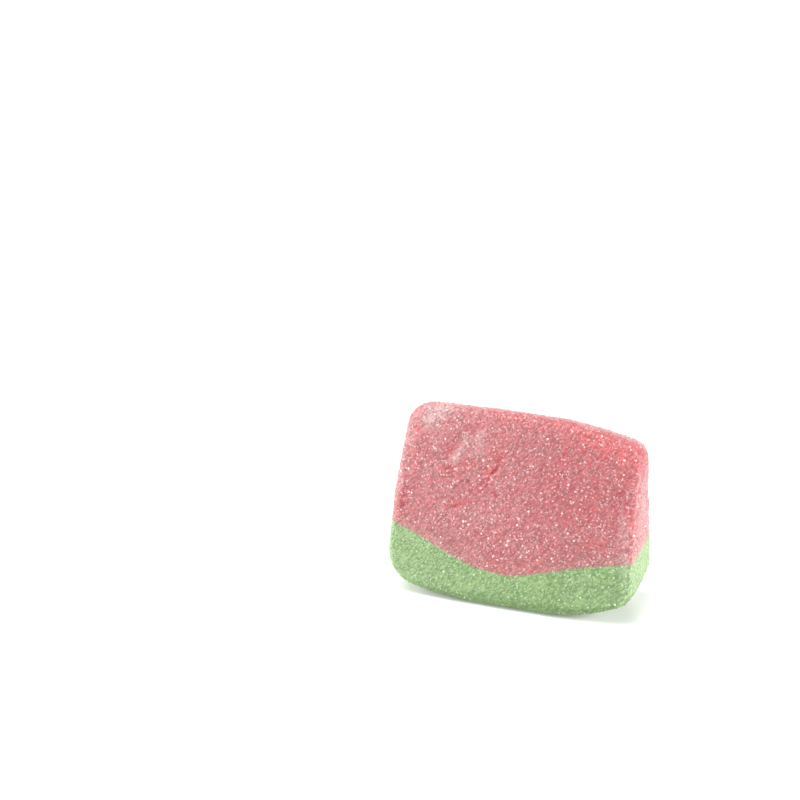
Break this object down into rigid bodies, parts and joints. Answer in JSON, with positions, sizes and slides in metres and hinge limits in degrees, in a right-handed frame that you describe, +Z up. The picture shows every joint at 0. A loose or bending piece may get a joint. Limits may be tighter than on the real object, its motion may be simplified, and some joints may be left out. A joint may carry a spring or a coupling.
{
  "type": "marshmallow",
  "caption": "Sugared marshmallow cut like a melon slice: a wedge that tapers to a narrow ridge, pink flesh over a green rind with a gently convex underside.",
  "frame": {"origin": "under the middle of the slab, on the surface that it stands on", "axes": "+X along the slab towards the end where the ridge falls away, +Y from the front cut face to the back one, +Z up from the rind to the ridge"},
  "size_m": [0.0422, 0.0142, 0.032],
  "materials": {
    "pink_marshmallow": "matte pink foam sweet, coated with fine white sugar",
    "green_marshmallow": "matte green foam sweet, coated with fine white sugar"
  },
  "bodies": {
    "root": {"pink_flesh": "pink_marshmallow", "green_rind": "green_marshmallow"}
  },
  "joints": []
}
